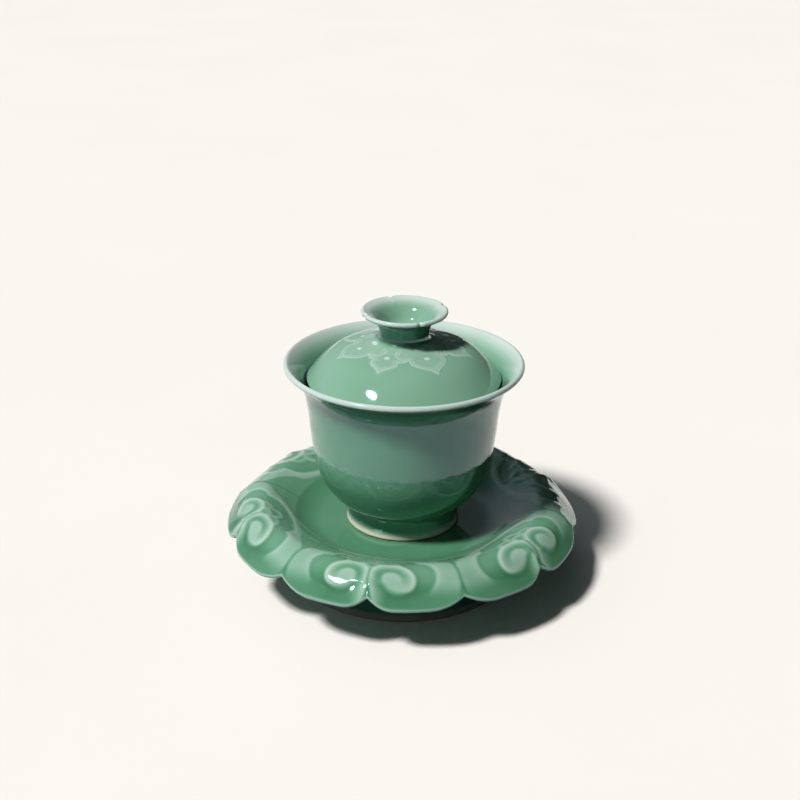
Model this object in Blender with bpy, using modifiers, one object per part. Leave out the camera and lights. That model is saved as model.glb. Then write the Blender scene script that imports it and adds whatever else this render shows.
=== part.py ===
"""A gaiwan: a lidded tea bowl on a lobed saucer, in metres with +Z up.

The origin is on the axis that the three vessels share, at the table that the saucer stands on.
Every vessel is thrown on a wheel, so each starts as a half profile turned about Z. The saucer's
brim is then pressed into twelve lobes, in six pairs, and the knob's rim is nicked in four places.
"""

import math

import bpy

MM = 0.001

# Saucer
SAUCER_RADIUS = 69.7 * MM          # to the outermost point of a lobe
SAUCER_FLOOR = 21.7 * MM           # where the bowl stands
SAUCER_UNDERSIDE = 17.2 * MM       # under the floor, inside the foot ring
BRIM_EDGE = 20.9 * MM              # where the brim has rolled over and down
SAUCER_FOOT_OUTER = 45.1 * MM
SAUCER_FOOT_INNER = 42.3 * MM
LOBES = 12
LOBE_TURN = math.radians(-100.6)   # azimuth of the notch that parts one pair of lobes
NOTCH_CUT = 2.1 * MM               # how far a notch goes in from the lobes' outline
NOTCH_LIFT = 3.8 * MM              # how much higher the rolled brim ends there
CLEFT_DEPTH = 0.9 * MM             # the valley in the brim between two lobes
BRIM_START = 44.0 * MM
ROLL_START = 56.0 * MM

# Bowl
RIM_RADIUS = 46.0 * MM
BOWL_HEIGHT = 66.9 * MM
LIP_ROUND = 1.15 * MM
BOWL_FOOT_OUTER = 22.4 * MM
BOWL_FOOT_INNER = 19.3 * MM
BOWL_FOOT_RECESS = 5.2 * MM
STAND_GAP = 0.3 * MM               # between vessels that rest on one another

# Lid
LID_RADIUS = 37.6 * MM
LID_EDGE_ROUND = 1.1 * MM
LID_SEAT = 59.0 * MM               # height of the lid's lower edge above the bowl's foot
KNOB_RADIUS = 16.5 * MM
KNOB_ROUND = 0.8 * MM
KNOB_HEIGHT = 28.2 * MM            # knob's top above the lid's lower edge
KNOB_WAIST = 9.4 * MM
KNOB_NICKS = 4
NICK_DEPTH = 1.1 * MM
NICK_TURN = math.radians(-69.0)    # azimuth of one nick

SAUCER_STEPS = 96                  # a multiple of LOBES, so that points lie on the notches
BOWL_STEPS = 48
LID_STEPS = 56                     # a multiple of KNOB_NICKS

GLAZE = {
    "saucer": (0.30, 0.52, 0.40),
    "bowl": (0.33, 0.55, 0.43),
    "lid": (0.36, 0.58, 0.46),
}


def clear_scene():
    """Remove every object that is already there."""
    for obj in list(bpy.data.objects):
        bpy.data.objects.remove(obj, do_unlink=True)


def arc(centre, radius, start, end, count):
    """Points on a round stretch of a profile, angles in degrees from +X towards +Z."""
    angles = [math.radians(start + (end - start) * i / (count - 1)) for i in range(count)]
    return [(centre[0] + radius * math.cos(a), centre[1] + radius * math.sin(a)) for a in angles]


def curve(points, parts):
    """A smooth stretch of a profile that passes through the points (Catmull-Rom)."""
    line = [(r * MM, z * MM) for r, z in points]
    ends = [line[0]] + line + [line[-1]]
    result = []
    for a, b, c, d in zip(ends, ends[1:], ends[2:], ends[3:]):
        for i in range(parts):
            t = i / parts
            weights = (
                (-t + 2 * t * t - t ** 3) / 2,
                (2 - 5 * t * t + 3 * t ** 3) / 2,
                (t + 4 * t * t - 3 * t ** 3) / 2,
                (t ** 3 - t * t) / 2,
            )
            result.append(tuple(sum(w * p[k] for w, p in zip(weights, (a, b, c, d))) for k in (0, 1)))
    return result + [line[-1]]


def glaze(name):
    """A glossy celadon glaze in the vessel's own shade."""
    material = bpy.data.materials.new(name + "_glaze")
    material.use_nodes = True
    shader = material.node_tree.nodes["Principled BSDF"]
    shader.inputs["Base Color"].default_value = (*GLAZE[name], 1.0)
    shader.inputs["Roughness"].default_value = 0.12
    shader.inputs["Metallic"].default_value = 0.0
    return material


def turned(name, profile, steps, collection):
    """A vessel turned about Z from its half profile, which starts on the axis at the top."""
    mesh = bpy.data.meshes.new(name)
    edges = [(i, i + 1) for i in range(len(profile) - 1)]
    mesh.from_pydata([(r, 0.0, z) for r, z in profile], edges, [])
    obj = bpy.data.objects.new(name, mesh)
    collection.objects.link(obj)
    screw = obj.modifiers.new("Turn", "SCREW")
    screw.axis = "Z"
    screw.steps = steps
    screw.render_steps = steps
    screw.use_merge_vertices = True
    screw.merge_threshold = 0.00001
    obj.data.materials.append(glaze(name))
    return obj


def apply_turning(obj):
    """Make the turned surface the object's own mesh, so that its points can be moved."""
    graph = bpy.context.evaluated_depsgraph_get()
    mesh = bpy.data.meshes.new_from_object(obj.evaluated_get(graph))
    obj.modifiers.clear()
    obj.data = mesh
    return mesh


def ramp(value, start, end):
    """0 before start, 1 after end, with a smooth rise between them."""
    t = min(max((value - start) / (end - start), 0.0), 1.0)
    return t * t * (3.0 - 2.0 * t)


def saucer_profile():
    """Flat well, short rise to the brim, brim rolled over and down, and a tall foot ring."""
    top = curve([(36.0, 21.7), (40.4, 23.2), (43.2, 25.3), (49.0, 28.4), (54.0, 30.3), (58.0, 30.2),
                 (61.4, 28.7), (65.0, 25.7), (69.2, 21.8), (69.7, 20.9)], 2)
    under = curve([(67.0, 20.5), (64.4, 23.0), (59.0, 25.8), (53.4, 25.0), (48.6, 18.0), (46.2, 8.0)], 1)
    edge = arc((SAUCER_RADIUS - 1.35 * MM, BRIM_EDGE - 0.1 * MM), 1.35 * MM, -40, -140, 3)
    foot = [(SAUCER_FOOT_OUTER, 0.6 * MM), (SAUCER_FOOT_OUTER - 0.5 * MM, 0.0),
            (SAUCER_FOOT_INNER + 0.5 * MM, 0.0), (SAUCER_FOOT_INNER, 0.6 * MM)]
    inside = curve([(41.4, 10.0), (39.8, 15.4), (35.0, 17.2)], 1)
    return ([(0.0, SAUCER_FLOOR), (20.0 * MM, SAUCER_FLOOR)] + top + edge + under + foot + inside
            + [(18.0 * MM, SAUCER_UNDERSIDE), (0.0, SAUCER_UNDERSIDE)])


def press_lobes(mesh):
    """Cut the brim's outline back to a notch between the lobes and sink a valley behind each."""
    half_lobe = math.pi / LOBES
    for vertex in mesh.vertices:
        x, y, z = vertex.co
        radius = math.hypot(x, y)
        if radius < BRIM_START:
            continue
        from_middle = abs((math.atan2(y, x) % (2 * half_lobe)) / half_lobe - 1.0)
        notch = from_middle ** 4 * ramp(radius, ROLL_START, SAUCER_RADIUS)
        valley = from_middle ** 6 * ramp(radius, BRIM_START, ROLL_START) * (z > 25.0 * MM)
        scale = 1.0 - NOTCH_CUT * notch / radius
        vertex.co = (x * scale, y * scale, z + NOTCH_LIFT * notch - CLEFT_DEPTH * valley)


def make_saucer(collection):
    saucer = turned("saucer", saucer_profile(), SAUCER_STEPS, collection)
    press_lobes(apply_turning(saucer))
    saucer.rotation_euler.z = LOBE_TURN
    return saucer


def bowl_profile():
    """Deep inside, flared and rounded lip, straight belly, round shoulder and a flared foot."""
    lip_centre = (RIM_RADIUS - LIP_ROUND, BOWL_HEIGHT - LIP_ROUND)
    inner = curve([(0.0, 10.0), (14.0, 10.8), (23.5, 13.9), (29.0, 19.5), (32.2, 28.0), (33.9, 40.0),
                   (34.7, 49.0), (36.2, 55.8), (38.3, 60.2), (41.2, 63.8), (43.7, 66.2)], 1)
    lip = arc(lip_centre, LIP_ROUND, 110, -40, 5)
    outer = curve([(43.4, 63.9), (40.8, 60.6), (38.6, 55.6), (37.1, 48.0), (36.5, 40.0), (35.7, 32.0),
                   (34.0, 24.0), (31.0, 17.2), (26.8, 11.8), (21.6, 8.4)], 2)
    foot = curve([(21.0, 6.4), (21.5, 3.0), (22.4, 0.5)], 1)
    recess = [(BOWL_FOOT_OUTER - 0.5 * MM, 0.0), (BOWL_FOOT_INNER + 0.4 * MM, 0.0),
              (BOWL_FOOT_INNER, 0.5 * MM), (BOWL_FOOT_INNER - 0.5 * MM, BOWL_FOOT_RECESS - 0.6 * MM),
              (BOWL_FOOT_INNER - 1.4 * MM, BOWL_FOOT_RECESS), (0.0, BOWL_FOOT_RECESS)]
    return inner + lip + outer + foot + recess


def make_bowl(collection):
    bowl = turned("bowl", bowl_profile(), BOWL_STEPS, collection)
    bowl.location.z = SAUCER_FLOOR + STAND_GAP
    return bowl


def lid_profile():
    """Cupped knob on a narrow neck, domed cover, rounded edge and hollow underside."""
    cup = curve([(0.0, 19.0), (4.2, 19.4), (7.4, 21.2), (9.4, 23.9), (12.0, 26.4), (14.9, 27.9)], 1)
    rim = arc((KNOB_RADIUS - KNOB_ROUND, KNOB_HEIGHT - KNOB_ROUND), KNOB_ROUND, 110, -50, 4)
    neck = curve([(14.6, 26.2), (11.6, 24.3), (10.0, 21.6), (9.4, 18.8), (9.9, 16.7)], 1)
    dome = curve([(14.0, 15.3), (19.0, 14.1), (24.0, 12.7), (28.0, 10.7), (31.5, 7.9), (34.5, 4.6)], 2)
    edge = arc((LID_RADIUS - LID_EDGE_ROUND, LID_EDGE_ROUND), LID_EDGE_ROUND, 20, -90, 4)
    inside = curve([(35.0, 0.0), (31.0, 5.6), (27.0, 8.8), (22.0, 10.8), (13.0, 12.8), (0.0, 14.0)], 1)
    return cup + rim + neck + dome + edge + inside


def nick_knob(mesh):
    """Press small nicks into the knob's rim, which part it into shallow lobes."""
    reach = 2 * math.pi / LID_STEPS
    spacing = 2 * math.pi / KNOB_NICKS
    for vertex in mesh.vertices:
        x, y, z = vertex.co
        radius = math.hypot(x, y)
        if radius < KNOB_WAIST or z < 0.8 * KNOB_HEIGHT:
            continue
        off = abs((math.atan2(y, x) + spacing / 2) % spacing - spacing / 2)
        depth = max(0.0, 1.0 - off / reach) * ramp(radius, KNOB_WAIST, KNOB_RADIUS)
        scale = 1.0 - NICK_DEPTH * depth / radius
        vertex.co = (x * scale, y * scale, z - 0.3 * NICK_DEPTH * depth)


def make_lid(collection):
    lid = turned("lid", lid_profile(), LID_STEPS, collection)
    nick_knob(apply_turning(lid))
    lid.rotation_euler.z = NICK_TURN
    lid.location.z = SAUCER_FLOOR + STAND_GAP + LID_SEAT
    return lid


def main():
    clear_scene()
    collection = bpy.data.collections.new("gaiwan")
    bpy.context.scene.collection.children.link(collection)
    for obj in (make_saucer(collection), make_bowl(collection), make_lid(collection)):
        obj.data.shade_smooth()


main()
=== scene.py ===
"""The looks of a celadon gaiwan: a lidded tea bowl on a saucer carved with cloud scrolls.

Each CAD node is replaced by a fine mesh of the same profile. The saucer's brim and the lid's dome
carry a relief, worked out as a height field on the turned surface, and each point knows how thin
the glaze lies there: thin and pale on edges and high ground, deep and green in the hollows. The
same value also carries painted shade: nearly the darkest green under the saucer, and a deep green
band round the knob's neck under its rim.
Lengths are in millimetres until a mesh is made; angles are in degrees.
"""

import math

import bpy
import numpy as np
from mathutils import Matrix, Vector


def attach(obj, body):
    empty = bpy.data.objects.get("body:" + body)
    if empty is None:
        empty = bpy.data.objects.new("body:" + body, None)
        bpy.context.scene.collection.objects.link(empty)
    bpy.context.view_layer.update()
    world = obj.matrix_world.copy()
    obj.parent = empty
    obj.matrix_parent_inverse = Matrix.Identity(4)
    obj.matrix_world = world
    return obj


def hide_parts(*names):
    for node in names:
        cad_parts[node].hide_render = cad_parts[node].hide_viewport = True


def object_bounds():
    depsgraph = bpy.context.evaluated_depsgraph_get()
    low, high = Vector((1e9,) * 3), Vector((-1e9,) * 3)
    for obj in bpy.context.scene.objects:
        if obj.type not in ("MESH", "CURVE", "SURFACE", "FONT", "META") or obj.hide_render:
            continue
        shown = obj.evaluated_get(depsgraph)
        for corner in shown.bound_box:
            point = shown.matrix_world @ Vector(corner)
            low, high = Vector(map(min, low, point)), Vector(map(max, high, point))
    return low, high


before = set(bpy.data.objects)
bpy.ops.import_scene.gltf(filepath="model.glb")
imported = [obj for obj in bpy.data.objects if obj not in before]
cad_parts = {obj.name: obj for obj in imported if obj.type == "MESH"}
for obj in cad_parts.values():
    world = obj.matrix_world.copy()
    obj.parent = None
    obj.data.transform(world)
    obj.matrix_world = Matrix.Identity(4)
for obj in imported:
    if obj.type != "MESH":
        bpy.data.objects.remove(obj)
CAD_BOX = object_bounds()

MM = 0.001

# ---- Sizes shared with the CAD, in millimetres ------------------------------------------------

SAUCER_RADIUS = 69.7
SAUCER_FLOOR = 21.7                # height of the well
SAUCER_UNDERSIDE = 17.2            # height of the recess inside the foot ring
EDGE_ROUND = 1.35                  # rounding of the brim's outer edge
BRIM_START = 43.2                  # radius where the rise from the well ends and the carved brim begins
NOTCH_CUT, NOTCH_LIFT = 2.1, 3.8   # how far a notch goes in, and how much higher the edge is there
IN_HEAD_REACH = 8.0                # degrees from the middle of a head to where its notch ends
BETWEEN_REACH = 11.0               # the same for the notch between two heads
BETWEEN_DEPTH = 0.9                # depth of that notch beside the one in a head
ROLL_START = 56.0                  # radius from which the notches shape the brim
HEADS = 6                          # cloud heads round the brim, each a mirrored pair of lobes
HEAD_SPAN = 360.0 / HEADS
HEAD_TURN = -100.6                 # azimuth of the notch in the middle of one head
BOWL_BASE = 22.0                   # height of the bowl's foot above the table
BOWL_BOTTOM = 10.0                 # height of the bowl's inside above its foot
BOWL_RECESS = 5.2                  # depth of the hollow inside the bowl's foot ring
LIP_CENTRE, LIP_ROUND = (44.85, 65.75), 1.15
LID_BASE = 81.0                    # height of the lid's lower edge above the table
LID_HOLLOW = 14.0                  # height of the lid's inside above its lower edge
CUP_BOTTOM = 19.0                  # height of the knob's inside above the lid's lower edge
KNOB_RADIUS = 16.5
KNOB_RIM_CENTRE, KNOB_RIM_ROUND = (15.6, 27.3), 0.9
KNOB_FOOT = (10.1, 16.6)           # radius and height at which the neck meets the dome
LID_REACH = 37.0                   # radius at which the dome turns into the lid's edge
KNOB_NICKS = 4
NICK_TURN = -69.0                  # azimuth of one nick
NICK_CUT, NICK_SINK = 1.1, 0.33    # how far a nick goes in, and how far it dips

# ---- Small tools for curves and fields --------------------------------------------------------


def smooth(t):
    """0 below 0, 1 above 1, and a soft rise between."""
    t = np.clip(t, 0.0, 1.0)
    return t * t * (3.0 - 2.0 * t)


def mix(a, b, share):
    """a where share is 0, b where it is 1."""
    return a + (b - a) * share


def arc(centre, radius, start, end, count=24):
    """Points on an arc between two angles in degrees."""
    a = np.radians(np.linspace(start, end, count))
    return np.stack([centre[0] + radius * np.cos(a), centre[1] + radius * np.sin(a)], -1)


def curve(points, parts=12):
    """A smooth line through the points (Catmull-Rom)."""
    p = np.array(points, float)
    p = np.vstack([p[:1], p, p[-1:]])
    t = np.arange(parts)[:, None] / parts
    runs = [
        ((-t + 2 * t**2 - t**3) * a + (2 - 5 * t**2 + 3 * t**3) * b
         + (t + 4 * t**2 - 3 * t**3) * c + (t**3 - t**2) * d) / 2
        for a, b, c, d in zip(p, p[1:], p[2:], p[3:])
    ]
    return np.vstack(runs + [p[-1:]])


def even(line, count):
    """The line resampled to count points at even distances."""
    steps = np.hypot(*np.diff(line, axis=0).T)
    along = np.concatenate([[0.0], np.cumsum(steps)])
    at = np.linspace(0.0, along[-1], count)
    return np.stack([np.interp(at, along, line[:, k]) for k in (0, 1)], -1)


def line_distance(x, y, line):
    """How far each point lies from an open line."""
    best = np.full(x.shape, 1e9)
    for (ax, ay), (bx, by) in zip(line[:-1], line[1:]):
        dx, dy = bx - ax, by - ay
        t = np.clip(((x - ax) * dx + (y - ay) * dy) / (dx * dx + dy * dy + 1e-12), 0.0, 1.0)
        best = np.minimum(best, (x - ax - t * dx) ** 2 + (y - ay - t * dy) ** 2)
    return np.sqrt(best)


def inside_depth(x, y, outline):
    """Distance to a closed outline, positive inside it."""
    closed = np.vstack([outline, outline[:1]])
    crossings = np.zeros(x.shape, bool)
    for (ax, ay), (bx, by) in zip(closed[:-1], closed[1:]):
        if ay == by:
            continue
        spans = (y < ay) != (y < by)
        crossings ^= spans & (x < ax + (y - ay) * (bx - ax) / (by - ay))
    return line_distance(x, y, closed) * np.where(crossings, 1.0, -1.0)


def blurred(field, rounds):
    """The field smoothed along the rows and round the columns."""
    for _ in range(rounds):
        field = (np.roll(field, 1, 1) + 2 * field + np.roll(field, -1, 1)) / 4
        padded = np.vstack([field[:1], field, field[-1:]])
        field = (padded[:-2] + 2 * field + padded[2:]) / 4
    return field


# ---- Turned meshes ----------------------------------------------------------------------------


def turned_points(profile, columns):
    """A grid of points: one row for each profile point, one column for each step round Z."""
    az = np.arange(columns) * 2 * math.pi / columns
    r, z = profile[:, :1], profile[:, 1:]
    return np.stack([r * np.cos(az), r * np.sin(az), z + 0 * az], -1)


def grid_normals(points):
    """The outward normal at each point of a turned grid."""
    along = np.gradient(points, axis=0)
    around = np.roll(points, -1, 1) - np.roll(points, 1, 1)
    normal = np.cross(along, around)
    return normal / (np.linalg.norm(normal, axis=-1, keepdims=True) + 1e-12)


def closed_mesh(name, points, fields, top, bottom):
    """One closed mesh from the grid, with a point on the axis at each end."""
    rows, columns = points.shape[:2]
    verts = np.vstack([points.reshape(-1, 3), [[0, 0, top], [0, 0, bottom]]]) * MM
    first = np.arange(columns)
    after = np.roll(first, -1)
    faces = []
    for i in range(rows - 1):
        a, b = i * columns, (i + 1) * columns
        faces += np.stack([a + first, b + first, b + after, a + after], -1).tolist()
    last = (rows - 1) * columns
    faces += [(rows * columns, int(i), int(j)) for i, j in zip(first, after)]
    faces += [(rows * columns + 1, int(last + j), int(last + i)) for i, j in zip(first, after)]
    mesh = bpy.data.meshes.new(name)
    mesh.from_pydata(verts.tolist(), [], faces)
    for key, grid in fields.items():
        values = np.concatenate([grid.ravel(), [grid[0].mean(), grid[-1].mean()]])
        mesh.attributes.new(key, "FLOAT", "POINT").data.foreach_set("value", values.astype(np.float32))
    mesh.shade_smooth()
    mesh.update()
    piece = bpy.data.objects.new(name, mesh)
    bpy.context.scene.collection.objects.link(piece)
    return piece


# ---- The cloud scrolls on the saucer's brim ---------------------------------------------------
#
# Half a head is drawn in the plane x, y: x away from the head's middle line, y outward from the
# saucer's axis, both as they lie on the brim's own surface. The other half is its mirror image.

GROUND = -0.35                     # heights of the carving, before the glaze fills it
CHANNEL = 0.0
RIBBON = 0.70
CREST = 0.85
CORE = 0.65
BUMP = 0.6

# One turn and three quarters of the scroll: its radius at angles from +x towards +y.
TURN_KNOTS = [
    (141, 11.5), (168, 9.2), (200, 9.3), (221, 9.8), (240, 9.8), (257, 9.4), (277, 8.8), (296, 8.1),
    (323, 7.4), (350, 7.0), (389, 6.8), (412, 6.4), (442, 6.1), (479, 5.5), (504, 5.0), (540, 4.7),
    (594, 4.5), (620, 3.9), (646, 3.1), (680, 2.4), (714, 2.1), (737, 2.1),
]
TURN_START, FIRST_TURN_END, TURN_END = 141.0, 501.0, 737.0
TURN_CENTRE = 9.8                  # from the head's middle line
SCROLL_WIDE = 1.07                 # the scroll is drawn out along the brim by this much
SCROLL_TOP = 6.1                   # from the scroll's centre to its outer side
SCROLL_FOOT = 9.5                  # from the scroll's centre to its side towards the well
SCROLL_REACH = 67.4                # where every scroll's outer side lies on the brim

# How each hand-carved head differs, by its place from the front one, 60 degrees of azimuth apart:
# the lean of its inner end and of its scrolls, how tall the scrolls are, and the cusps on the
# ribbon's inner and outer edges.
HEAD_SHAPES = {
    -2: (-3.6, -3.4, 0.78, (16.0, 53.2), (21.4, 49.4)),
    -1: (-2.8, -3.8, 0.78, (15.8, 52.3), (21.2, 48.4)),
    0: (-0.9, -0.8, 0.78, (16.2, 52.2), (21.8, 48.0)),
    1: (3.6, 3.2, 0.78, (16.4, 52.0), (21.6, 48.0)),
    2: (3.0, 2.4, 0.80, (16.0, 52.6), (21.2, 48.6)),
    3: (0.8, 0.0, 0.79, (16.4, 52.2), (21.6, 48.2)),
}


def turn_radius(angle):
    """The scroll's radius at each angle."""
    knots = curve(TURN_KNOTS, 8)
    return np.interp(angle, knots[:, 0], knots[:, 1])


def scroll_middle(tall):
    """Where the scroll's centre lies, so that its outer side is the same for every height."""
    return SCROLL_REACH - SCROLL_TOP * tall


def scroll_line(start, end, tall):
    """Points on the scroll's edge between two angles."""
    angle = np.arange(start, end + 6.0, 6.0)
    a = np.radians(angle)
    r = turn_radius(angle)
    x = TURN_CENTRE + r * np.cos(a) * SCROLL_WIDE
    y = scroll_middle(tall) + r * np.sin(a) * tall
    return np.stack([x, y], -1)


def field_outline(cusp):
    """Half the sunken field inside the ribbon: scalloped along the well, a wide bay, open at the rim."""
    cx, cy = cusp
    under = curve([
        (-1.0, 45.6), (0.0, 45.6), (6.0, 46.2), (0.76 * cx, 48.0), (cx - 1.2, cy - 1.8), cusp,
    ])
    bay = curve([
        cusp, (mix(cx, 24.0, 0.42), cy + 0.4), (22.3, mix(cy, 60.0, 0.33)), (23.8, mix(cy, 60.0, 0.68)),
        (24.0, 60.5), (22.6, 64.2), (19.8, 67.0), (17.0, 69.0),
    ])
    return np.vstack([under, bay, [(17.0, 80.0), (-1.0, 80.0)]])


def head_outline(cusp):
    """Half the head's outer edge: round lobe against the next head, cusp, then along the well."""
    cx, cy = cusp
    meet = math.radians(HEAD_SPAN / 2)
    corner = (63.0 * math.sin(meet) + 2.0, 63.0 * math.cos(meet))
    side = [(-1.0, 90.0), (90.0 * math.sin(meet) + 2.0, 90.0), corner]
    lobe = curve([
        corner, (mix(cx, 33.5, 0.72), mix(cy, 54.5, 0.52)), (mix(cx, 33.5, 0.3), mix(cy, 54.5, 0.1)), cusp,
    ])
    hollow = curve([
        cusp, (cx - 2.6, cy - 0.9), (cx - 6.0, cy - 2.4), (cx - 9.5, 44.4), (5.0, 43.6), (-1.0, 43.6),
    ])
    return np.vstack([side, lobe, hollow])


# The cloud bumps, each laid over the one before: its centre, across and outward from the scroll's
# foot, its radius and its height.
BUMPS = ((6.4, 2.0, 4.7, BUMP), (0.0, -1.2, 4.4, BUMP + 0.06), (0.0, 1.9, 3.1, BUMP + 0.16))


def bumps(x, y, foot):
    """Small overlapping cloud bumps under the scrolls, like scales: raised edge, sunken back."""
    height = np.full(x.shape, CHANNEL + 0.1)
    pale = mix(0.42, 0.15, smooth((y - 58.0) / 9.0)) - 0.04 * (1.0 - smooth((y - 48.0) / 5.0))
    for cx, cy, radius, top in BUMPS:
        depth = radius - np.hypot(x - cx, y - foot - cy)
        low = smooth(depth / 3.6)
        step = smooth(depth / 0.8 + 0.5)
        height = mix(height, mix(top, 0.25, low), step)
        pale = mix(pale, mix(0.62, 0.36, low), step)
    return height, pale


def scroll(x, y, tall):
    """Height, paleness and cover of the scroll, and how far each point lies from its straight side."""
    u, v = (x - TURN_CENTRE) / SCROLL_WIDE, (y - scroll_middle(tall)) / tall
    rho = np.hypot(u, v)
    phi = (np.degrees(np.arctan2(v, u)) - TURN_START) % 360.0 + TURN_START
    first = turn_radius(phi)
    second = np.where(phi + 360.0 <= TURN_END, turn_radius(np.minimum(phi + 360.0, TURN_END)), 0.0)
    two_turns = smooth((TURN_END - 360.0 + 8.0 - phi) / 16.0)

    straight = np.vstack([[(0.5, 80.0), (0.5, 70.0)], scroll_line(TURN_START, 206.0, tall)])
    doubled = scroll_line(TURN_START, TURN_END - 360.0, tall)
    outer = scroll_line(TURN_START, FIRST_TURN_END, tall)
    inner = scroll_line(FIRST_TURN_END, TURN_END, tall)
    to_straight = line_distance(x, y, straight)
    to_first = np.minimum(line_distance(x, y, doubled), to_straight)
    depth = line_distance(x, y, outer) * np.where(rho < first, 1.0, -1.0)
    core_depth = line_distance(x, y, inner) * np.where(rho < second, 1.0, -1.0)

    fade = smooth((phi - 250.0) / 127.0)
    slope = 1.0 - smooth(to_first / 3.6)
    ring = mix(mix(CHANNEL + 0.1, CORE, fade), CREST, slope)
    ring_pale = mix(mix(0.42, 0.60, fade), 0.82, slope)
    near_edge = (1.0 - smooth(depth / 2.6)) * (1.0 - smooth((phi - 370.0) / 90.0))
    core = mix(CORE, CREST, near_edge)
    core_pale = mix(0.68, 0.78, near_edge)
    core_wall = smooth(core_depth / 0.9 + 0.5)
    height = mix(core, mix(ring, CORE, core_wall), two_turns)
    pale = mix(core_pale, mix(ring_pale, 0.70, core_wall), two_turns)
    height = mix(height, CORE, smooth((y - scroll_middle(tall) + 0.5) / 3.0))
    width = mix(0.8, 3.2, smooth((phi - 390.0) / 60.0))
    return height, pale, smooth(depth / width + 0.5), to_straight


def half_head(x, y, tall, inner_cusp, outer_cusp):
    """Height and paleness of half a cloud head, and of the ground outside it."""
    foot = scroll_middle(tall) - SCROLL_FOOT * tall
    height, pale = bumps(x, y, foot)
    scroll_height, scroll_pale, cover, to_straight = scroll(x, y, tall)
    above_foot = smooth((y - foot - 1.0) / 3.0)
    height = mix(height, CREST, (1.0 - smooth(to_straight / 4.0)) * above_foot)
    spread = mix(3.6, 8.5, smooth((y - 58.0) / 11.0))
    pale = mix(pale, 0.76, (1.0 - smooth(to_straight / spread)) * above_foot)
    height = mix(height, scroll_height, cover)
    pale = mix(pale, scroll_pale, cover)

    in_field = inside_depth(x, y, field_outline(inner_cusp))
    soft = mix(1.0, 6.0, smooth((y - 62.0) / 5.0))
    on_ribbon = smooth(-in_field / soft + 0.5)
    edge = np.exp(-np.maximum(-in_field, 0.0) / 2.0)
    height = mix(height, RIBBON - 0.3 + 0.3 * edge, on_ribbon)
    pale = mix(pale, mix(0.60 + 0.14 * edge, 0.30, smooth((y - 59.0) / 7.5)), on_ribbon)

    in_head = inside_depth(x, y, head_outline(outer_cusp))
    rounded = 1.0 - smooth(in_head / 2.4)
    on_head = smooth(in_head / 0.9 + 0.5)
    height = mix(GROUND + 0.25, height - 0.3 * rounded, on_head)
    pale = mix(0.40, pale + 0.05 * rounded, on_head)
    return height, pale


def open_clefts(x, y, r, angle, tall):
    """Where the narrow clefts run, in the middle of a head and between heads, wider at the rim."""
    flare = np.clip((r - 64.0) / 9.5, 0.0, 1.0) ** 4
    middle = 1.0 - smooth((x - 1.6 * flare + 0.1) / 0.8)
    middle = middle * smooth((y - scroll_middle(tall) + SCROLL_FOOT * tall - 2.0) / 3.0)
    side = r * np.sin(np.maximum(math.radians(HEAD_SPAN / 2) - angle, 0.0))
    between = 1.0 - smooth((side - 2.1 * flare + 0.1) / 0.8)
    return np.maximum(middle, between)


def clouds(azimuth, reach_out):
    """Height and paleness over the brim, for azimuths in degrees and distances along its surface."""
    head = np.round((azimuth - HEAD_TURN) / HEAD_SPAN)
    off = azimuth - HEAD_TURN - HEAD_SPAN * head
    height = np.zeros(azimuth.shape)
    pale = np.zeros(azimuth.shape)
    half = HEAD_SPAN / 2
    for key, (low_lean, scroll_lean, tall, inner_cusp, outer_cusp) in HEAD_SHAPES.items():
        mine = (head - key) % HEADS == 0
        columns = mine.any(0)
        a, r = off[:, columns], reach_out[:, columns]
        lean = mix(low_lean, scroll_lean, smooth((r - 50.0) / 9.0))
        lean = lean * (1.0 - 0.8 * smooth((r - 65.0) / 8.0))
        past = a - lean
        local = np.where(past > 0.0, past * half / (half - lean), past * half / (half + lean))
        angle = np.radians(np.abs(local))
        x, y = r * np.sin(angle), r * np.cos(angle)
        h, p = half_head(x, y, tall, inner_cusp, outer_cusp)

        # The carving fades out over the rolled edge, where the glaze thins.
        roll = smooth((r - 68.5) / 3.5)
        h = mix(h, 0.0, 0.7 * roll)
        p = np.maximum(p, mix(p, 0.22, roll))
        p = np.maximum(p, smooth((r - 73.0) / 1.3) * 0.66)

        cut = open_clefts(x, y, r, angle, tall)
        h = mix(h, GROUND, cut)
        p = mix(p, 0.30, cut)
        height[:, columns] = np.where(mine[:, columns], h, height[:, columns])
        pale[:, columns] = np.where(mine[:, columns], p, pale[:, columns])
    return height, pale


# ---- Saucer -----------------------------------------------------------------------------------


def saucer_stretches():
    """The half profile in stretches, from the axis at the top to the axis below."""
    well = np.array([(r, SAUCER_FLOOR) for r in (1.0, 12.0, 24.0, 31.0)])
    rise = curve([(32.0, SAUCER_FLOOR), (34.6, 21.85), (37.6, 22.5), (40.4, 23.6), (BRIM_START, 25.2)])
    brim = curve([
        (BRIM_START, 25.2), (46.0, 26.8), (49.0, 28.4), (54.0, 30.3), (58.0, 30.2), (61.4, 28.7),
        (65.0, 25.7), (69.3, 21.5),
    ])
    edge = arc((SAUCER_RADIUS - EDGE_ROUND, 20.8), EDGE_ROUND, 40, -145)
    under = curve([
        (67.0, 20.5), (64.4, 23.0), (59.0, 25.8), (53.4, 25.0), (48.6, 18.0), (46.2, 8.0), (45.2, 1.7),
    ])
    foot = np.array([(45.1, 0.7), (44.9, 0.2), (44.5, 0.0), (42.9, 0.0), (42.5, 0.2), (42.3, 0.7)])
    inside = curve([(42.2, 1.6), (41.4, 10.0), (39.8, 15.4), (35.0, SAUCER_UNDERSIDE)])
    middle = np.array([(20.0, SAUCER_UNDERSIDE), (1.0, SAUCER_UNDERSIDE)])
    outside = even(under, 15), foot, even(inside, 8), middle
    return well, even(rise, 12), even(brim, 74), even(edge, 7)[1:], *outside


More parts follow.
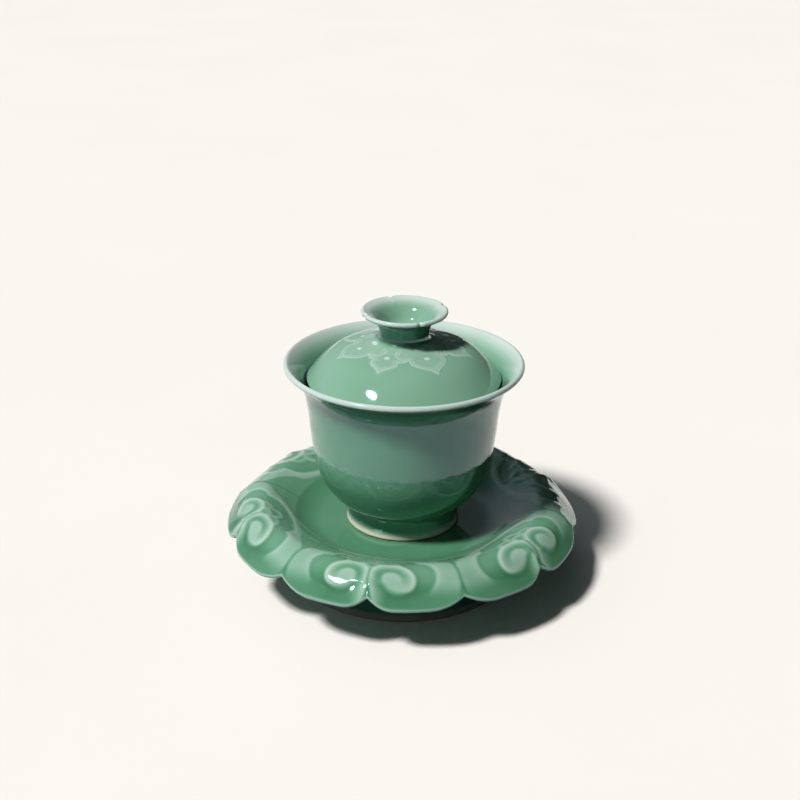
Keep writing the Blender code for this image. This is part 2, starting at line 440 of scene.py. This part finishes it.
def press_lobes(points, azimuth):
    """Draw the outline in at each notch and lift the rolled edge there."""
    r = np.hypot(points[..., 0], points[..., 1])
    off = np.abs((azimuth - HEAD_TURN + HEAD_SPAN / 2) % HEAD_SPAN - HEAD_SPAN / 2)
    in_head = np.clip(1.0 - off / IN_HEAD_REACH, 0.0, 1.0) ** 2.0
    between = np.clip(1.0 - (HEAD_SPAN / 2 - off) / BETWEEN_REACH, 0.0, 1.0) ** 2.0
    between = BETWEEN_DEPTH * between
    notch = np.maximum(in_head, between) * smooth((r - ROLL_START) / (SAUCER_RADIUS - ROLL_START))
    scale = 1.0 - NOTCH_CUT * notch / np.maximum(r, 1.0)
    points[..., 0] *= scale
    points[..., 1] *= scale
    points[..., 2] += NOTCH_LIFT * notch
    return points


SAUCER_COLUMNS = 960
RELIEF = 0.50                      # the glaze fills the carving and leaves this share of its depth
WELL_GLAZE = 0.28                  # how thin the glaze lies: 0 deep green, 1 pale
# Painted shade: the saucer's underside, foot included, gets nearly the darkest glaze colour.
UNDERSIDE_PAINTED_SHADE = 0.03
EDGE_GLAZE = 0.72


def make_saucer():
    """The turned saucer with its lobes, its carving and the bare ring that it stands on."""
    well, rise, brim, edge, under, foot, inside, middle = saucer_stretches()
    profile = np.vstack([well, rise, brim[1:], edge, under, foot, inside, middle])
    points = turned_points(profile, SAUCER_COLUMNS)
    azimuth = np.arange(SAUCER_COLUMNS) * 360.0 / SAUCER_COLUMNS
    azimuth = np.broadcast_to(azimuth, points.shape[:2])
    points = press_lobes(points, azimuth)
    normals = grid_normals(points)

    start = len(well) + len(rise) - 1
    stop = start + len(brim)
    along = np.concatenate([[0.0], np.cumsum(np.hypot(*np.diff(brim, axis=0).T))])
    reach_out = np.broadcast_to((BRIM_START + along)[:, None], (len(brim), SAUCER_COLUMNS))
    height, pale = clouds(azimuth[start:stop], reach_out)
    rim_fade = smooth((along[-1] - along) / 1.5)[:, None]
    well_fade = smooth(along / 1.6)[:, None]
    height = blurred(height * (0.35 + 0.65 * rim_fade) * well_fade, 6)
    pale = blurred(pale, 1)
    points[start:stop] += normals[start:stop] * (RELIEF * height[..., None])
    edge_light = np.clip((height - blurred(height, 8)) * 0.7, -0.16, 0.12)

    glaze = np.full(points.shape[:2], WELL_GLAZE)
    # Painted shade: the whole underside under the brim is set nearly to the darkest green.
    glaze[stop + len(edge):] = UNDERSIDE_PAINTED_SHADE
    glaze[start:stop] = np.clip(pale + edge_light, 0.0, 1.0)
    glaze[stop:stop + len(edge)] = EDGE_GLAZE
    bare = np.zeros(points.shape[:2])
    r, z = profile[:, 0], profile[:, 1]
    ring = (z < 2.0) & (r > 41.0) & (r < 46.0)
    bare[ring] = 1.0
    fields = {"glaze": glaze, "bare": bare}
    piece = closed_mesh("saucer_celadon", points, fields, SAUCER_FLOOR, SAUCER_UNDERSIDE)
    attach(piece, "saucer")
    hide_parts("saucer")
    return piece


# ---- Bowl -------------------------------------------------------------------------------------

BOWL_COLUMNS = 360


def bowl_stretches():
    """The half profile in stretches, from the axis inside to the axis below."""
    inner = curve([
        (1.0, BOWL_BOTTOM), (14.0, 10.8), (23.5, 13.9), (29.0, 19.5), (32.2, 28.0), (33.9, 40.0),
        (34.7, 49.0), (36.2, 55.8), (38.3, 60.2), (41.2, 63.8), (43.9, 66.3),
    ])
    lip = arc(LIP_CENTRE, LIP_ROUND, 115, -40)
    outer = curve([
        (45.5, 64.8), (43.4, 63.3), (40.8, 60.6), (38.6, 55.6), (37.1, 48.0), (36.35, 40.0),
        (35.4, 32.0), (33.9, 24.0), (31.0, 17.2), (26.8, 11.8), (21.7, 8.3),
    ])
    foot = curve([(21.1, 7.0), (21.0, 5.6), (21.4, 3.0), (22.3, 0.6), (22.0, 0.1), (21.5, 0.0)])
    recess = np.array([
        (19.9, 0.0), (19.5, 0.2), (19.3, 0.6), (18.8, 4.6), (17.9, BOWL_RECESS), (1.0, BOWL_RECESS),
    ])
    return even(inner, 40), even(lip, 12)[1:], even(outer, 60)[1:], even(foot, 14), recess


def make_bowl():
    """The turned bowl: deep glaze low down, thin on the lip, none on the foot it stands on."""
    inner, lip, outer, foot, recess = bowl_stretches()
    profile = np.vstack([inner, lip, outer, foot, recess])
    points = turned_points(profile, BOWL_COLUMNS)
    points[..., 2] += BOWL_BASE
    r, z = profile[:, 0], profile[:, 1]
    glaze = mix(0.09, 0.41, smooth((z - 9.0) / 24.0))
    from_lip = np.hypot(r - LIP_CENTRE[0], z - LIP_CENTRE[1])
    glaze = np.maximum(glaze, mix(0.96, 0.3, smooth((from_lip - 1.2) / 2.0)))
    on_inside = np.arange(len(profile)) < len(inner)
    flare = mix(0.9, 0.5, smooth((from_lip - 1.3) / 7.0))
    glaze = np.where(on_inside, np.maximum(glaze, flare), glaze)
    low = (z < 6.5) & (r > 19.0)
    bare = np.where(low, 1.0 - smooth((z - 0.9) / 2.6), 0.0)
    rows = {"glaze": glaze, "bare": bare}
    fields = {key: np.repeat(row[:, None], BOWL_COLUMNS, 1) for key, row in rows.items()}
    piece = closed_mesh("bowl_celadon", points, fields, BOWL_BOTTOM + BOWL_BASE, BOWL_RECESS + BOWL_BASE)
    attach(piece, "bowl")
    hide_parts("bowl")
    return piece


# ---- Lid --------------------------------------------------------------------------------------

LID_COLUMNS = 600
BIG_PETALS = (-160.0, -62.0, 28.0, 114.0)       # azimuths of the hand-carved petals
SMALL_PETALS = (-111.5, -15.0, 71.0, 157.0)
BIG_DOTS = ((17.8, 1.1, 0.9), (11.8, 2.1, 0.9))  # where a dot lies, half its width and length
SMALL_DOTS = ((17.2, 1.1, 0.9),)


def dome_line():
    """The dome, gently sloped at the knob's foot and ever steeper towards the lid's edge."""
    start, top = KNOB_FOOT
    r = np.linspace(start, LID_REACH, 135)
    steep = 0.24 + 1.02 * smooth((r - 20.5) / 16.8) + 0.3 * (1.0 - smooth((r - start) / 2.6))
    drop = np.concatenate([[0.0], np.cumsum((steep[1:] + steep[:-1]) / 2 * np.diff(r))])
    return np.stack([r, top - drop], -1)


def lid_stretches():
    """The half profile in stretches, from the axis in the knob's cup to the axis inside."""
    cup = curve([
        (1.0, CUP_BOTTOM), (4.0, 19.3), (7.2, 21.0), (9.0, 23.4), (10.6, 25.4), (12.8, 27.1), (15.2, 28.1),
    ])
    rim = arc(KNOB_RIM_CENTRE, KNOB_RIM_ROUND, 105, -65)
    neck = curve([
        (15.7, 26.4), (13.4, 25.5), (11.3, 24.1), (10.0, 21.6), (9.4, 19.2), (9.5, 17.8), KNOB_FOOT,
    ])
    edge = arc((36.2, 1.05), 1.05, 30, -90)
    inside = curve([
        (35.0, 0.0), (31.0, 5.6), (27.0, 8.8), (22.0, 10.8), (13.0, 12.8), (1.0, LID_HOLLOW),
    ])
    knob = even(cup, 24), even(rim, 9), even(neck, 16)
    return *knob, even(dome_line(), 92)[1:], even(edge, 7)[1:], even(inside, 12)[1:]


def big_petal():
    """Half the outline of a large petal: tip, pointed lobe, cusp and a second lobe to the neck."""
    return [
        curve([(0.0, 26.9), (1.5, 24.9), (4.0, 23.2), (6.3, 20.9), (7.1, 18.4), (6.5, 16.2)]),
        curve([(6.5, 16.2), (8.7, 15.4), (10.0, 13.4), (9.7, 11.2), (8.2, 9.6)]),
    ]


def small_petal():
    """Half the outline of a small petal, which shows between two large ones."""
    return [
        curve([(0.0, 25.9), (1.2, 24.4), (3.3, 22.8), (4.8, 21.1), (5.0, 19.5), (4.5, 18.6)]),
        curve([(4.5, 18.6), (6.3, 18.0), (7.7, 16.4), (7.9, 14.0), (7.0, 12.0), (6.0, 10.0)]),
    ]


def petal_field(azimuth, radius, turn, halves, inner_gap, dots):
    """Height, paleness and cover of one petal with doubled raised outlines and dots."""
    off = (azimuth - turn + 180.0) % 360.0 - 180.0
    x = np.abs(radius * np.sin(np.radians(off)))
    y = radius * np.cos(np.radians(off))
    line = np.vstack(halves)
    outline = np.vstack([line, [(0.0, line[-1][1] - 1.0)]])
    cover = inside_depth(x, y, np.vstack([outline, [(-1.0, 9.0), (-1.0, 27.0)]]))
    to_line = np.minimum(line_distance(x, y, halves[0]), line_distance(x, y, halves[1]))
    ridge = np.exp(-(to_line / 0.48) ** 2)
    second = np.exp(-((to_line - inner_gap) / 0.48) ** 2) * (cover > 0)
    height = 0.10 * smooth(cover / 0.6 + 0.5) + 0.13 * np.maximum(ridge, 0.8 * second)
    pale = 0.07 * smooth(cover / 0.5 + 0.5) + 0.22 * np.maximum(ridge, 0.5 * second)
    for dy, wide, tall in dots:
        spot = 1.0 - smooth((np.hypot(x / wide, (y - dy) / tall) - 0.7) / 0.6)
        height = height + 0.15 * spot
        pale = pale + 0.3 * spot
    shown = (np.abs(off) < 60.0) & (radius > 9.0)
    return np.where(shown, height, 0.0), np.where(shown, pale, 0.0), np.where(shown, cover, -1e3)


def petals(azimuth, radius):
    """Height and paleness of the ring of petals, the large ones over the small ones."""
    height = np.zeros(azimuth.shape)
    pale = np.zeros(azimuth.shape)
    for turn in SMALL_PETALS:
        h, p, _ = petal_field(azimuth, radius, turn, small_petal(), 1.1, SMALL_DOTS)
        height, pale = np.maximum(height, h), np.maximum(pale, p)
    for turn in BIG_PETALS:
        h, p, cover = petal_field(azimuth, radius, turn, big_petal(), 1.3, BIG_DOTS)
        share = smooth(cover / 0.4 + 1.0)
        height, pale = mix(height, h, share), mix(pale, p, share)
    return height, pale


def nick_knob(points, azimuth, rows):
    """Small nicks in the knob's rim."""
    r = np.hypot(points[rows, :, 0], points[rows, :, 1])
    spacing = 360.0 / KNOB_NICKS
    off = np.abs((azimuth[rows] - NICK_TURN + spacing / 2) % spacing - spacing / 2)
    depth = np.clip(1.0 - off / 7.0, 0.0, 1.0) ** 2 * smooth((r - 9.4) / (KNOB_RADIUS - 9.4))
    scale = 1.0 - NICK_CUT * depth / np.maximum(r, 1.0)
    points[rows, :, 0] *= scale
    points[rows, :, 1] *= scale
    points[rows, :, 2] -= NICK_SINK * depth


def make_lid():
    """The turned lid with its nicked knob and the petals round it."""
    cup, rim, neck, dome, edge, inside = lid_stretches()
    profile = np.vstack([cup, rim, neck, dome, edge, inside])
    points = turned_points(profile, LID_COLUMNS)
    azimuth = np.arange(LID_COLUMNS) * 360.0 / LID_COLUMNS
    azimuth = np.broadcast_to(azimuth, points.shape[:2])
    knob_rows = slice(0, len(cup) + len(rim) + len(neck) - 4)
    nick_knob(points, azimuth, knob_rows)
    normals = grid_normals(points)
    start = len(cup) + len(rim) + len(neck)
    stop = start + len(dome)
    radius = np.broadcast_to(dome[:, :1], (len(dome), LID_COLUMNS))
    height, pale = petals(azimuth[start:stop], radius)
    height = height * smooth((radius - 10.0) / 0.8)
    points[start:stop] += normals[start:stop] * height[..., None]
    points[..., 2] += LID_BASE

    r, z = profile[:, 0], profile[:, 1]
    glaze_row = mix(0.57, 0.47, smooth((r - 24.0) / 10.0))
    from_rim = np.hypot(r - KNOB_RIM_CENTRE[0], z - KNOB_RIM_CENTRE[1])
    glaze_row = np.maximum(glaze_row, mix(0.96, 0.57, smooth((from_rim - 1.1) / 4.5)))
    # Painted shade: the neck's waist, under the knob's overhanging rim, is given a deep green band.
    on_neck = (r < 16.0) & (z > 15.0) & (np.arange(len(profile)) > len(cup) + len(rim))
    neck_painted_shade = mix(0.20, 0.60, smooth((np.abs(z - 21.0) - 3.0) / 2.5))
    glaze_row = np.where(on_neck, neck_painted_shade, glaze_row)
    glaze = np.repeat(glaze_row[:, None], LID_COLUMNS, 1)
    glaze[start:stop] = np.clip(glaze[start:stop] + pale, 0.0, 1.0)
    bare = np.zeros(glaze.shape)
    fields = {"glaze": glaze, "bare": bare}
    piece = closed_mesh("lid_celadon", points, fields, CUP_BOTTOM + LID_BASE, LID_HOLLOW + LID_BASE)
    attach(piece, "lid")
    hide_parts("lid")
    return piece


# ---- Materials --------------------------------------------------------------------------------

# The glaze's colour by how thin it lies, from pooled to worn thin over an edge.
GLAZE_STOPS = (
    (0.0, (0.022, 0.092, 0.046)),
    (0.14, (0.050, 0.170, 0.082)),
    (0.3, (0.082, 0.235, 0.130)),
    (0.5, (0.152, 0.330, 0.214)),
    (0.75, (0.305, 0.455, 0.360)),
    (1.0, (0.560, 0.640, 0.590)),
)
GLAZE_IOR = 1.86                   # above real glaze, to stand in for an overexposed floor
GLAZE_TINT = (0.62, 0.96, 1.0, 1.0)
GLAZE_ROUGHNESS, CLAY_ROUGHNESS = 0.07, 0.7
CLOUDING = 0.12                    # how much the glaze's thickness wanders
CREAM_CLAY, BROWN_CLAY = (0.62, 0.57, 0.46), (0.16, 0.12, 0.09)
FLOOR_DARK, FLOOR_PALE = (0.80, 0.755, 0.71, 1.0), (0.84, 0.795, 0.75, 1.0)


def glaze_colour(nodes, links, place):
    """The glaze's colour, from how thin it lies and a little clouding."""
    cloudy = nodes.new("ShaderNodeTexNoise")
    cloudy.inputs["Scale"].default_value = 45.0
    cloudy.inputs["Detail"].default_value = 3.0
    links.new(place, cloudy.inputs["Vector"])
    thin = nodes.new("ShaderNodeAttribute")
    thin.attribute_name = "glaze"
    spread = nodes.new("ShaderNodeMath")
    spread.operation = "MULTIPLY_ADD"
    spread.inputs[1].default_value = CLOUDING
    links.new(cloudy.outputs["Fac"], spread.inputs[0])
    links.new(thin.outputs["Fac"], spread.inputs[2])
    centred = nodes.new("ShaderNodeMath")
    centred.operation = "SUBTRACT"
    centred.inputs[1].default_value = CLOUDING / 2
    links.new(spread.outputs[0], centred.inputs[0])
    ramp = nodes.new("ShaderNodeValToRGB")
    ramp.color_ramp.interpolation = "LINEAR"
    for position, _ in GLAZE_STOPS[1:-1]:
        ramp.color_ramp.elements.new(position)
    for element, (position, colour) in zip(ramp.color_ramp.elements, GLAZE_STOPS):
        element.position = position
        element.color = (*colour, 1.0)
    links.new(centred.outputs[0], ramp.inputs["Fac"])
    return ramp.outputs["Color"]


def clay_colour(nodes, links, place, biscuit):
    """The bare clay's colour, with a fine grit."""
    grit = nodes.new("ShaderNodeTexNoise")
    grit.inputs["Scale"].default_value = 2500.0
    links.new(place, grit.inputs["Vector"])
    clay = nodes.new("ShaderNodeMix")
    clay.data_type = "RGBA"
    clay.inputs["A"].default_value = (*[c * 0.8 for c in biscuit], 1.0)
    clay.inputs["B"].default_value = (*biscuit, 1.0)
    links.new(grit.outputs["Fac"], clay.inputs["Factor"])
    return clay.outputs["Result"]


def rippled_normal(nodes, links, place):
    """The faint waves in the surface of a thick glaze."""
    ripple = nodes.new("ShaderNodeTexNoise")
    ripple.inputs["Scale"].default_value = 140.0
    ripple.inputs["Detail"].default_value = 1.0
    links.new(place, ripple.inputs["Vector"])
    bump = nodes.new("ShaderNodeBump")
    bump.inputs["Strength"].default_value = 0.06
    bump.inputs["Distance"].default_value = 0.0002
    links.new(ripple.outputs["Fac"], bump.inputs["Height"])
    return bump.outputs["Normal"]


def celadon(name, biscuit):
    """Glossy celadon glaze, and rough clay where the "bare" attribute says so."""
    material = bpy.data.materials.new(name)
    material.use_nodes = True
    nodes, links = material.node_tree.nodes, material.node_tree.links
    shader = nodes["Principled BSDF"]
    shader.inputs["IOR"].default_value = GLAZE_IOR
    shader.inputs["Specular Tint"].default_value = GLAZE_TINT
    place = nodes.new("ShaderNodeTexCoord").outputs["Object"]
    bare = nodes.new("ShaderNodeAttribute")
    bare.attribute_name = "bare"
    colour = nodes.new("ShaderNodeMix")
    colour.data_type = "RGBA"
    links.new(bare.outputs["Fac"], colour.inputs["Factor"])
    links.new(glaze_colour(nodes, links, place), colour.inputs["A"])
    links.new(clay_colour(nodes, links, place, biscuit), colour.inputs["B"])
    links.new(colour.outputs["Result"], shader.inputs["Base Color"])
    rough = nodes.new("ShaderNodeMapRange")
    rough.inputs["To Min"].default_value = GLAZE_ROUGHNESS
    rough.inputs["To Max"].default_value = CLAY_ROUGHNESS
    links.new(bare.outputs["Fac"], rough.inputs["Value"])
    links.new(rough.outputs["Result"], shader.inputs["Roughness"])
    links.new(rippled_normal(nodes, links, place), shader.inputs["Normal"])
    return material


def plain_floor():
    """A matt, warm white floor with a trace of unevenness."""
    material = bpy.data.materials.new("pale_floor")
    material.use_nodes = True
    nodes, links = material.node_tree.nodes, material.node_tree.links
    shader = nodes["Principled BSDF"]
    shader.inputs["Roughness"].default_value = 0.9
    shader.inputs["Specular IOR Level"].default_value = 0.1
    noise = nodes.new("ShaderNodeTexNoise")
    noise.inputs["Scale"].default_value = 6.0
    noise.inputs["Detail"].default_value = 4.0
    tint = nodes.new("ShaderNodeMix")
    tint.data_type = "RGBA"
    tint.inputs["A"].default_value = FLOOR_DARK
    tint.inputs["B"].default_value = FLOOR_PALE
    place = nodes.new("ShaderNodeTexCoord")
    links.new(place.outputs["Object"], noise.inputs["Vector"])
    links.new(noise.outputs["Fac"], tint.inputs["Factor"])
    links.new(tint.outputs["Result"], shader.inputs["Base Color"])
    return material


# ---- Stage ------------------------------------------------------------------------------------

FLOOR_HALF = 12.0                  # metres


def make_floor():
    """The floor just under the foot ring; it gives the glaze a reflection but no bounced light."""
    half = FLOOR_HALF
    corners = [(-half, -half, 0), (half, -half, 0), (half, half, 0), (-half, half, 0)]
    mesh = bpy.data.meshes.new("floor")
    mesh.from_pydata(corners, [], [(0, 1, 2, 3)])
    floor = bpy.data.objects.new("floor", mesh)
    bpy.context.scene.collection.objects.link(floor)
    floor.location.z = CAD_BOX[0].z - 0.1 * MM
    floor.visible_diffuse = False
    mesh.materials.append(plain_floor())


KEY_FROM = (-0.5375, -0.4447, 1.0)  # direction from the object to the key light
KEY_ANGLE = math.radians(9.0)
KEY_STRENGTH = 4.15
SHEEN_FROM = (-0.480, -0.312, 0.820)
LAMP_DISTANCE = 2.8                # metres
SHEEN_SIZE = (0.58, 0.30)          # metres
SHEEN_POWER = 12.0                 # watts


def place_lamp(lamp, towards):
    """A lamp that shines on the origin from the given direction."""
    obj = bpy.data.objects.new(lamp.name, lamp)
    direction = Vector(towards).normalized()
    obj.location = direction * LAMP_DISTANCE
    obj.rotation_mode = "QUATERNION"
    obj.rotation_quaternion = direction.to_track_quat("Z", "Y")
    bpy.context.scene.collection.objects.link(obj)
    return obj


def make_lights():
    """A sun-like key for the light and the shadow, and a softbox that only shows in the gloss."""
    lamp = bpy.data.lights.new("key", "SUN")
    lamp.energy = KEY_STRENGTH
    lamp.angle = KEY_ANGLE
    place_lamp(lamp, KEY_FROM).visible_glossy = False
    box = bpy.data.lights.new("sheen", "AREA")
    box.shape = "ELLIPSE"
    box.size, box.size_y = SHEEN_SIZE
    box.energy = SHEEN_POWER
    place_lamp(box, SHEEN_FROM).visible_diffuse = False


BACKDROP = (0.95, 0.93, 1.0, 1.0)  # what the glaze reflects above the horizon
BACKDROP_STRENGTH, CEILING_STRENGTH = 0.36, 0.04
BACKDROP_TOP = (0.50, 0.78)        # sines of the elevations over which it gives way to the ceiling
FILL = (0.80, 1.0, 1.05, 1.0)      # soft light that falls on the object
FILL_STRENGTH = 0.24
SIDE_FADE = (-0.30, 0.25)          # from left to right, where the backdrop and the fill fade
RIGHT_SHARE = 0.08
WALL = (0.90, 0.855, 0.81, 1.0)    # what the camera sees behind the floor


def soft_range(nodes, links, value, source, target):
    """A value carried softly from one range to another."""
    node = nodes.new("ShaderNodeMapRange")
    node.interpolation_type = "SMOOTHSTEP"
    node.inputs["From Min"].default_value, node.inputs["From Max"].default_value = source
    node.inputs["To Min"].default_value, node.inputs["To Max"].default_value = target
    links.new(value, node.inputs["Value"])
    return node.outputs["Result"]


def make_world():
    """A dim studio, lighter on the left: one look for the gloss, one for the fill, one behind."""
    world = bpy.data.worlds.new("studio")
    bpy.context.scene.world = world
    world.use_nodes = True
    nodes, links = world.node_tree.nodes, world.node_tree.links
    light = nodes["Background"]
    light.inputs["Color"].default_value = FILL
    backdrop = nodes.new("ShaderNodeBackground")
    backdrop.inputs["Color"].default_value = BACKDROP
    place = nodes.new("ShaderNodeTexCoord")
    parts = nodes.new("ShaderNodeSeparateXYZ")
    links.new(place.outputs["Generated"], parts.inputs[0])
    low = soft_range(nodes, links, parts.outputs["Z"], BACKDROP_TOP, (BACKDROP_STRENGTH, CEILING_STRENGTH))
    side = soft_range(nodes, links, parts.outputs["X"], SIDE_FADE, (1.0, RIGHT_SHARE))
    both = nodes.new("ShaderNodeMath")
    both.operation = "MULTIPLY"
    links.new(low, both.inputs[0])
    links.new(side, both.inputs[1])
    links.new(both.outputs[0], backdrop.inputs["Strength"])
    fill = nodes.new("ShaderNodeMath")
    fill.operation = "MULTIPLY"
    fill.inputs[1].default_value = FILL_STRENGTH
    links.new(side, fill.inputs[0])
    links.new(fill.outputs[0], light.inputs["Strength"])
    seen = nodes.new("ShaderNodeBackground")
    seen.inputs["Color"].default_value = WALL
    path = nodes.new("ShaderNodeLightPath")
    gloss = nodes.new("ShaderNodeMixShader")
    links.new(path.outputs["Is Glossy Ray"], gloss.inputs["Fac"])
    links.new(light.outputs["Background"], gloss.inputs[1])
    links.new(backdrop.outputs["Background"], gloss.inputs[2])
    pick = nodes.new("ShaderNodeMixShader")
    links.new(path.outputs["Is Camera Ray"], pick.inputs["Fac"])
    links.new(gloss.outputs["Shader"], pick.inputs[1])
    links.new(seen.outputs["Background"], pick.inputs[2])
    links.new(pick.outputs["Shader"], nodes["World Output"].inputs["Surface"])


CAMERA_PLACE = (-0.9, -469.4, 277.4)
CAMERA_PITCH = 23.645              # degrees below the horizon
CAMERA_ROLL = 0.548
CAMERA_YAW = 0.068
CAMERA_LENS, SENSOR_WIDTH = 59.68, 36.0


def make_camera():
    """A camera in front of the object, looking down on it."""
    data = bpy.data.cameras.new("camera")
    data.lens = CAMERA_LENS
    data.sensor_width = SENSOR_WIDTH
    data.clip_start = 0.01
    data.clip_end = 100.0
    camera = bpy.data.objects.new("camera", data)
    camera.location = Vector(CAMERA_PLACE) * MM
    turn = Matrix.Rotation(math.radians(CAMERA_YAW), 4, "Z")
    tilt = Matrix.Rotation(math.radians(90.0 - CAMERA_PITCH), 4, "X")
    roll = Matrix.Rotation(math.radians(CAMERA_ROLL), 4, "Z")
    camera.rotation_mode = "QUATERNION"
    camera.rotation_quaternion = (turn @ tilt @ roll).to_quaternion()
    bpy.context.scene.collection.objects.link(camera)
    bpy.context.scene.camera = camera


def main():
    for make, clay in ((make_saucer, BROWN_CLAY), (make_bowl, CREAM_CLAY), (make_lid, CREAM_CLAY)):
        piece = make()
        piece.data.materials.append(celadon(piece.name + "_glaze", clay))
    make_floor()
    make_lights()
    make_world()
    make_camera()
    bpy.context.scene.view_settings.view_transform = "Standard"


main()
bpy.context.view_layer.update()
